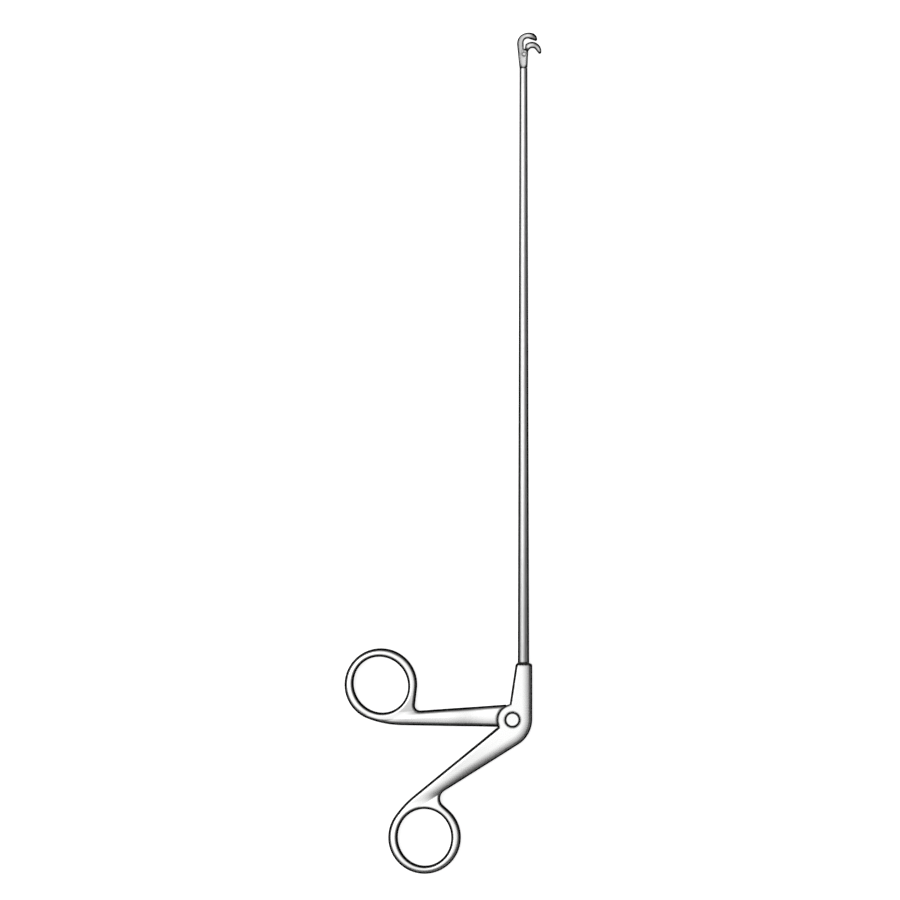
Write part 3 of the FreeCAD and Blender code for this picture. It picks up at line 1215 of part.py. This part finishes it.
fill_sheet()
pieces = [
    thumb_handle(),
    finger_lever(),
    pivot_barrel(),
    pivot_screw(),
    clevis(),
    crank_pin(),
    lock_nut(),
    shaft_tube(),
    solder_bead(),
    push_rod(),
    drive_pin(),
    fixed_jaw(),
    moving_jaw(),
    jaw_rivet(),
]
for order, bush in enumerate(("rear_guide_bush", "middle_guide_bush", "front_guide_bush")):
    pieces.append(guide_bush(order, bush))
check(pieces)
os.makedirs("parts", exist_ok=True)
for piece in pieces:
    piece.Shape.exportStep("parts/%s.step" % piece.Label)
print("wrote %d parts" % len(pieces))
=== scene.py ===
"""Laryngeal grasping forceps lying on a pale table, seen from straight above."""

import json
import math

import bpy
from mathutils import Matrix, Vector


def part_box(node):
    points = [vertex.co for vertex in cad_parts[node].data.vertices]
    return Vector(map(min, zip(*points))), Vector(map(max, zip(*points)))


MM = 0.001

# View: the middle of the picture on the table and the width that it shows
VIEW_MIDDLE = (-24.68 * MM, 106.67 * MM)
VIEW_WIDTH = 356.4 * MM
SENSOR_WIDTH = 36.0
LENS = 220.0
CLIP_END = 50.0

# Light: a bright cap of sky overhead that leans to the upper left, and a soft lamp on the same side
SKY_BRIGHT = 1.16
SKY_DARK = 0.1
SKY_LEAN = math.radians(22)
CAP_EDGE = 0.5
CAP_CORE = 0.93
LIGHT_FROM = Vector((-0.87, 0.5, 0)).normalized()
KEY_STRENGTH = 0.7
KEY_SOFTNESS = math.radians(40)
KEY_HEIGHT = math.radians(60)

# Table
TABLE_SIZE = 12.0
TABLE_COLOUR = (0.93, 0.93, 0.93)
TABLE_ROUGHNESS = 0.7
TABLE_SHINE = 0.1
TABLE_GLOW = 0.72

# Colours of the metals, of the painted shade on their edges, in their seams and on shaded stretches, and of
# their reflections at a grazing angle
STEEL = (0.86, 0.86, 0.855)
TUBE = (0.73, 0.73, 0.73)
JAW = (0.74, 0.74, 0.74)
ROD = (0.62, 0.62, 0.63)
SOLDER = (0.3, 0.29, 0.27)
BRONZE = (0.72, 0.5, 0.26)
PAINTED_SHADE_COLOUR = (0.008, 0.008, 0.008)
GRAZING = (0.15, 0.15, 0.15)

# Painted shade on stretches of the shaft, the finger arm and the jaws: how dark it is and where it ends
TUBE_SHADE = 0.3
TUBE_SHADE_END = 130 * MM
FINGER_SHADE = 0.6
FINGER_SHADE_START = 0.5 * MM
FINGER_SHADE_END = 2.2 * MM
JAW_SHADE = 0.4
JAW_SHADE_WIDTH = 5.5 * MM

# Painted shade on edges and in seams. An edge is painted dark where its softened normal's upright part
# falls from the second value to the first; an upright wall is only partly painted dark.
HANDLE_EDGE = (0.84, 0.99)
JAW_EDGE = (0.92, 0.997)
RIVET_EDGE = (0.5, 0.9)
TUBE_EDGE = (0.66, 0.95)
PIN_EDGE = (0.78, 0.985)
EDGE_SAMPLES = 16
WALL = (0.02, 0.2)
WALL_SHARE = 0.4
SEAM_SAMPLES = 8
SEAM_REACH = 1.6 * MM
SEAM_OPENNESS = (0.6, 0.95)
EDGE_ROUGHNESS = 0.2

# Grain: how often it repeats in a metre, how deep it is and what it does to the gloss
GRAIN = 4200.0
JAW_GRAIN = 1.6 * GRAIN
STREAKS = 9000.0
STREAK_STRETCH = 0.012
STREAK_TURN = math.radians(35)
STREAK_SHARE = 0.4
FLOW = 1500.0
TURNING_PITCH = 0.16 * MM
GRAIN_DEPTH = 0.02 * MM
JAW_GRAIN_DEPTH = 0.012 * MM
TURNING_DEPTH = 0.008 * MM
GRAIN_STRENGTH = 0.35
GRAIN_ROUGHNESS = 0.16

# Smudges
SMUDGES = 60.0
SMUDGE_RANGE = (0.3, 0.75)
SMUDGE_STRENGTH = 0.35
SMUDGE_SHADE = 0.92
SMUDGE_ROUGHNESS = 0.12

# Crowned faces of the handles. An arm's edge line has its distance from the pivot, and how far
# the middle of its ring lies beyond it. RING_JOINS says where a ring's rim passes into its arm,
# as cosines of the angle off the direction to the pivot.
SPINE_FROM_PIVOT = 7.86 * MM
ELBOW_RADIUS = 11.9 * MM
RING_RADIUS = 14.4 * MM
THUMB_LOW = (9.55 * MM, RING_RADIUS - 3.02 * MM)
FINGER_TOP = (6.05 * MM, RING_RADIUS - 3.06 * MM)
FINGER_LOW = (3.07 * MM, -RING_RADIUS - 1.46 * MM)
CROWN_WIDTH = 4.0 * MM
CROWN_HEIGHT = 0.8 * MM
BORE_RADIUS = 10.9 * MM
RING_CROWN_WIDTH = 1.9 * MM
RING_CROWN_SHARE = 0.33
RING_JOINS = (0.1, 0.9)

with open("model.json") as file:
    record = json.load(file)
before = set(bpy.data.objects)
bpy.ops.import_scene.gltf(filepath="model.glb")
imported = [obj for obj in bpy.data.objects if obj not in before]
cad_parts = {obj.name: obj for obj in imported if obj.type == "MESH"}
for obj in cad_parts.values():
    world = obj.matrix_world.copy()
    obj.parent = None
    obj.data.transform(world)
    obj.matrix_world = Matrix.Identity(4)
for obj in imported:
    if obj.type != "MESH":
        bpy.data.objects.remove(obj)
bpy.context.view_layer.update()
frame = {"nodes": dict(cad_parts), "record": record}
nodes = frame["nodes"]


class Value:
    """A shader socket that takes part in plain sums."""

    def __init__(self, sheet, socket):
        self.sheet = sheet
        self.socket = socket

    def sum(self, operation, first, second):
        return self.sheet.node("ShaderNodeMath", {"operation": operation}, [first, second])

    def __add__(self, other):
        return self.sum("ADD", self, other)

    def __radd__(self, other):
        return self.sum("ADD", other, self)

    def __sub__(self, other):
        return self.sum("SUBTRACT", self, other)

    def __rsub__(self, other):
        return self.sum("SUBTRACT", other, self)

    def __mul__(self, other):
        return self.sum("MULTIPLY", self, other)

    def __rmul__(self, other):
        return self.sum("MULTIPLY", other, self)

    def __truediv__(self, other):
        return self.sum("DIVIDE", self, other)

    def __pow__(self, other):
        return self.sum("POWER", self, other)

    def out(self, name):
        """Another output of the same node."""
        return Value(self.sheet, self.socket.node.outputs[name])


class Sheet:
    """The node sheet of a material or the world."""

    def __init__(self, owner):
        owner.use_nodes = True
        self.tree = owner.node_tree
        self.tree.nodes.clear()

    def fill(self, socket, given):
        if isinstance(given, Value):
            self.tree.links.new(given.socket, socket)
        elif hasattr(given, "__len__") and len(given) == 3 and socket.type == "RGBA":
            socket.default_value = (*given, 1.0)
        else:
            socket.default_value = given

    def node(self, kind, settings=None, inputs=None):
        """Adds a node: its settings first, then the values or links of its sockets."""
        made = self.tree.nodes.new(kind)
        for name, setting in (settings or {}).items():
            setattr(made, name, setting)
        pairs = inputs.items() if isinstance(inputs, dict) else enumerate(inputs or ())
        for name, given in pairs:
            self.fill(made.inputs[name], given)
        return Value(self, next((s for s in made.outputs if s.enabled), None) if made.outputs else None)

    def ramp(self, factor, low, high):
        """Goes smoothly from 0 at low to 1 at high."""
        return self.node("ShaderNodeMapRange", {"interpolation_type": "SMOOTHSTEP"},
                         {"Value": factor, "From Min": low, "From Max": high})

    def fall(self, inside, width):
        """1 at an edge, then less and less down to 0 at the given width inside it."""
        left = self.node("ShaderNodeMapRange", None,
                         {"Value": inside, "From Max": width, "To Min": 1, "To Max": 0})
        return left * left

    def mix(self, factor, first, second):
        """A colour between two colours."""
        mixed = self.tree.nodes.new("ShaderNodeMix")
        mixed.data_type = "RGBA"
        self.fill(mixed.inputs["Factor"], factor)
        self.fill(mixed.inputs[6], first)
        self.fill(mixed.inputs[7], second)
        return Value(self, mixed.outputs[2])

    def place(self, turn=(0, 0, 0), scale=(1, 1, 1)):
        """Object coordinates, turned and scaled."""
        here = self.node("ShaderNodeTexCoord").out("Object")
        return self.node("ShaderNodeMapping", None, {"Vector": here, "Rotation": turn, "Scale": scale})

    def across_and_along(self):
        """The two level object coordinates."""
        split = self.node("ShaderNodeSeparateXYZ", None, {"Vector": self.place()})
        return split.out("X"), split.out("Y")

    def least(self, first, second):
        return self.node("ShaderNodeMath", {"operation": "MINIMUM"}, [first, second])

    def most(self, first, second):
        return self.node("ShaderNodeMath", {"operation": "MAXIMUM"}, [first, second])

    def above(self, first, second):
        """1 where the first value is the greater one, else 0."""
        return self.node("ShaderNodeMath", {"operation": "GREATER_THAN"}, [first, second])

    def noise(self, vector, scale, detail=3.0, roughness=0.5):
        return self.node("ShaderNodeTexNoise", None,
                         {"Vector": vector, "Scale": scale, "Detail": detail, "Roughness": roughness})


def mount(name):
    """Place of one of the frame's mounts, seen from above."""
    found = next(m for m in frame["record"]["mounts"] if m["name"] == name)
    return Vector(found["pos_m"][:2])


def outward(ring, offset, beyond, side):
    """Outward direction of an arm's edge line, on the clockwise (-1) or the other side of the arm."""
    bearing = math.atan2(ring.y, ring.x)
    angle = bearing + side * math.acos((offset + beyond) / ring.length)
    return Vector((math.cos(angle), math.sin(angle)))


def within(here, direction, offset):
    """How far inside an edge line a point lies."""
    return offset - (here[0] * direction.x + here[1] * direction.y)


def away(here, centre):
    """How far a point lies from an upright axis."""
    across = here[0] - centre.x
    along = here[1] - centre.y
    return (across * across + along * along) ** 0.5


def crown(sheet, inside, here, ring):
    """Height of a face that falls off towards its edges, of an arm and of its ring."""
    distance = away(here, ring)
    beside = sheet.ramp(distance, RING_RADIUS - CROWN_WIDTH, RING_RADIUS + CROWN_WIDTH)
    towards = ((ring.x - here[0]) * ring.x + (ring.y - here[1]) * ring.y) / (distance * ring.length)
    apart = 1 - sheet.ramp(towards, *RING_JOINS)
    bore_fall = sheet.fall(distance - BORE_RADIUS, RING_CROWN_WIDTH)
    rim_fall = sheet.fall(RING_RADIUS - distance, RING_CROWN_WIDTH) * apart
    return 1 - sheet.fall(inside, CROWN_WIDTH) * beside - (bore_fall + rim_fall) * RING_CROWN_SHARE


def thumb_crown(sheet):
    """The forging's face falls off along its back, round the elbow and under the thumb arm."""
    here = sheet.across_and_along()
    ring = mount("thumb_ring")
    low = outward(ring, *THUMB_LOW, 1)
    elbow_across = SPINE_FROM_PIVOT - ELBOW_RADIUS
    elbow = Vector((elbow_across, (THUMB_LOW[0] - ELBOW_RADIUS - elbow_across * low.x) / low.y))
    straight = sheet.least(SPINE_FROM_PIVOT - here[0], within(here, low, THUMB_LOW[0]))
    past_spine = elbow.y - here[1]
    past_arm = (elbow.x - here[0]) * low.y + (here[1] - elbow.y) * low.x
    bent = sheet.above(past_spine, 0) * sheet.above(past_arm, 0)
    inside = straight + bent * (ELBOW_RADIUS - away(here, elbow) - straight)
    return crown(sheet, inside, here, ring)


def finger_crown(sheet):
    """The finger arm falls off towards both of its edges."""
    here = sheet.across_and_along()
    ring = mount("finger_ring")
    top = within(here, outward(ring, *FINGER_TOP, -1), FINGER_TOP[0])
    low = within(here, outward(ring, *FINGER_LOW, 1), FINGER_LOW[0])
    return crown(sheet, sheet.least(top, low), here, ring)


def painted_edge_shade(sheet, edge, edge_width):
    """Painted shade: how dark a place is painted because an edge is near."""
    facing = sheet.node("ShaderNodeBevel", {"samples": EDGE_SAMPLES}, {"Radius": edge_width * MM})
    upright = sheet.node("ShaderNodeSeparateXYZ", None, {"Vector": facing}).out("Z")
    level = sheet.node("ShaderNodeMath", {"operation": "ABSOLUTE"}, [upright])
    turned_down = 1 - sheet.ramp(level, *edge)
    return turned_down * (WALL_SHARE + (1 - WALL_SHARE) * sheet.ramp(level, *WALL))


def painted_seam_shade(sheet):
    """Painted shade: how dark a place is painted because it lies in a gap."""
    openness = sheet.node("ShaderNodeAmbientOcclusion", {"samples": SEAM_SAMPLES},
                          {"Distance": SEAM_REACH}).out("AO")
    return 1 - sheet.ramp(openness, *SEAM_OPENNESS)


def metal(name, colour, roughness, finish, edge=HANDLE_EDGE, edge_width=2.2, form=None, extra_painted_shade=None):
    """A metal with painted shade along its edges, whose softening is edge_width millimetres, and in seams.

    finish(sheet) gives its grain and the grain's depth, form(sheet) the height of a crowned face and the
    last argument, given the sheet, how much more shade is painted on it.
    """
    material = bpy.data.materials.new(name)
    sheet = Sheet(material)
    height, depth = finish(sheet)
    smudge = sheet.noise(sheet.place(), SMUDGES, 4.0, 0.6)
    # Painted shade along edges, in seams and on shaded stretches; it mixes the colour towards a near-black.
    dark = sheet.most(painted_edge_shade(sheet, edge, edge_width), painted_seam_shade(sheet))
    if extra_painted_shade:
        dark = sheet.most(dark, extra_painted_shade(sheet))
    smudged = tuple(SMUDGE_SHADE * part for part in colour)
    tint = sheet.mix(sheet.ramp(smudge, *SMUDGE_RANGE) * SMUDGE_STRENGTH, colour, smudged)
    grain = {"Strength": GRAIN_STRENGTH, "Distance": depth, "Height": height}
    if form:
        grain["Normal"] = sheet.node("ShaderNodeBump", None, {
            "Strength": 1.0, "Distance": CROWN_HEIGHT, "Height": form(sheet)})
    bump = sheet.node("ShaderNodeBump", None, grain)
    unevenness = (height - 0.5) * GRAIN_ROUGHNESS + (smudge - 0.5) * SMUDGE_ROUGHNESS
    # The painted shade mixes the base colour towards the painted-shade colour and also raises the
    # roughness.
    shader = sheet.node("ShaderNodeBsdfPrincipled", None, {
        "Base Color": sheet.mix(dark, tint, PAINTED_SHADE_COLOUR),
        "Metallic": 1.0,
        "Roughness": roughness + unevenness + dark * EDGE_ROUGHNESS,
        "Specular Tint": GRAZING,
        "Normal": bump,
    })
    sheet.node("ShaderNodeOutputMaterial", None, {"Surface": shader})
    return material


def tube_painted_shade(sheet):
    """Painted shade on the shaft near the housing, which is also rougher there."""
    along = sheet.across_and_along()[1]
    return (1 - sheet.ramp(along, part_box("shaft_solder_bead")[0].y, TUBE_SHADE_END)) * TUBE_SHADE


def finger_painted_shade(sheet):
    """Painted shade along the upper edge of the lever's arm, which is also rougher there."""
    here = sheet.across_and_along()
    ring = mount("finger_ring")
    top = within(here, outward(ring, *FINGER_TOP, -1), FINGER_TOP[0])
    beside = sheet.ramp(away(here, ring), RING_RADIUS, RING_RADIUS + CROWN_WIDTH)
    return (1 - sheet.ramp(top, FINGER_SHADE_START, FINGER_SHADE_END)) * beside * FINGER_SHADE


def jaw_painted_shade(sheet):
    """Painted shade on the jaws, darker towards their back, which is also rougher."""
    across = sheet.across_and_along()[0]
    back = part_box("fixed_jaw")[0].x
    return (1 - sheet.ramp(across, back, back + JAW_SHADE_WIDTH)) * JAW_SHADE


def fine_grain(sheet):
    """Even satin grain of a handle, with faint brush marks across it."""
    grain = sheet.noise(sheet.place(), GRAIN, 2.0, 0.6)
    brush = sheet.noise(sheet.place((0, 0, STREAK_TURN), (STREAK_STRETCH, 1, 1)), STREAKS, 2.0)
    return grain * (1 - STREAK_SHARE) + brush * STREAK_SHARE, GRAIN_DEPTH


def long_brush(sheet):
    """Brush marks along the shaft."""
    return sheet.noise(sheet.place((0, 0, 0), (1, STREAK_STRETCH, 1)), STREAKS, 3.0), GRAIN_DEPTH


def short_grain(sheet):
    """Finer grain of the small jaws."""
    return sheet.noise(sheet.place(), JAW_GRAIN, 2.0, 0.6), JAW_GRAIN_DEPTH


def turned(sheet):
    """Concentric tool marks round the pivot axis."""
    radius = away(sheet.across_and_along(), Vector((0, 0)))
    wave = sheet.node("ShaderNodeMath", {"operation": "SINE"}, [radius * (2 * math.pi / TURNING_PITCH)])
    return wave * 0.5 + 0.5, TURNING_DEPTH


def smooth_flow(sheet):
    """Slightly uneven surface of a solder seam."""
    return sheet.noise(sheet.place(), FLOW, 2.0), GRAIN_DEPTH


def dress_nodes():
    """Gives every CAD node its own finish, or else the one of its material slot."""
    finishes = {
        "thumb_handle": metal("thumb_steel", STEEL, 0.27, fine_grain, form=thumb_crown),
        "finger_lever": metal("finger_steel", STEEL, 0.27, fine_grain, form=finger_crown, extra_painted_shade=finger_painted_shade),
        "jaw_rivet": metal("rivet_steel", JAW, 0.3, short_grain, RIVET_EDGE, 0.1, extra_painted_shade=jaw_painted_shade),
        "tube_steel": metal("tube_steel", TUBE, 0.38, long_brush, TUBE_EDGE, 0.2, extra_painted_shade=tube_painted_shade),
        "jaw_steel": metal("jaw_steel", JAW, 0.3, short_grain, JAW_EDGE, 2.0, extra_painted_shade=jaw_painted_shade),
        "pin_steel": metal("pin_steel", STEEL, 0.2, turned, PIN_EDGE, 1.2),
        "rod_steel": metal("rod_steel", ROD, 0.25, long_brush),
        "solder": metal("solder", SOLDER, 0.22, smooth_flow),
        "bush_bronze": metal("bush_bronze", BRONZE, 0.3, turned),
    }
    for part in frame["record"]["subparts"]:
        node = nodes[part["node"]]
        node.data.materials.clear()
        own = finishes.get(part["node"])
        node.data.materials.append(own or finishes[part["material_slot"]])


def floor():
    """The pale table, wide enough to fill the picture from any side."""
    bpy.ops.mesh.primitive_plane_add(size=TABLE_SIZE, location=(*VIEW_MIDDLE, 0))
    table = bpy.context.object
    table.name = "table"
    material = bpy.data.materials.new("table_white")
    sheet = Sheet(material)
    shader = sheet.node("ShaderNodeBsdfPrincipled", None, {
        "Base Color": TABLE_COLOUR, "Roughness": TABLE_ROUGHNESS, "Specular IOR Level": TABLE_SHINE,
        "Emission Color": (1, 1, 1), "Emission Strength": TABLE_GLOW})
    sheet.node("ShaderNodeOutputMaterial", None, {"Surface": shader})
    table.data.materials.append(material)


def sky():
    """A studio with one wide bright panel overhead, leaning to the upper left, and dim walls."""
    world = bpy.data.worlds.new("studio")
    bpy.context.scene.world = world
    sheet = Sheet(world)
    split = sheet.node("ShaderNodeSeparateXYZ", None, {"Vector": sheet.node("ShaderNodeTexCoord")})
    panel = LIGHT_FROM * math.sin(SKY_LEAN) + Vector((0, 0, math.cos(SKY_LEAN)))
    nearness = split * panel.x + split.out("Y") * panel.y + split.out("Z") * panel.z
    strength = SKY_DARK + (SKY_BRIGHT - SKY_DARK) * sheet.ramp(nearness, CAP_EDGE, CAP_CORE)
    light = sheet.node("ShaderNodeBackground", None, {"Color": (1, 1, 1), "Strength": strength})
    sheet.node("ShaderNodeOutputWorld", None, {"Surface": light})


def key_light():
    """One soft lamp from the upper left."""
    lamp = bpy.data.lights.new("key", "SUN")
    lamp.energy = KEY_STRENGTH
    lamp.angle = KEY_SOFTNESS
    lit = bpy.data.objects.new("key", lamp)
    bpy.context.scene.collection.objects.link(lit)
    towards = LIGHT_FROM * math.cos(KEY_HEIGHT) + Vector((0, 0, math.sin(KEY_HEIGHT)))
    lit.rotation_euler = towards.to_track_quat("Z", "Y").to_euler()


def camera():
    """Looks straight down, with the shaft pointing up in the picture."""
    lens = bpy.data.cameras.new("camera")
    lens.sensor_width = SENSOR_WIDTH
    lens.lens = LENS
    lens.clip_end = CLIP_END
    eye = bpy.data.objects.new("camera", lens)
    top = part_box("thumb_handle")[1].z
    eye.location = (*VIEW_MIDDLE, top / 2 + VIEW_WIDTH * LENS / SENSOR_WIDTH)
    bpy.context.scene.collection.objects.link(eye)
    bpy.context.scene.camera = eye


camera()
dress_nodes()
floor()
sky()
key_light()
bpy.context.scene.view_settings.view_transform = "Standard"
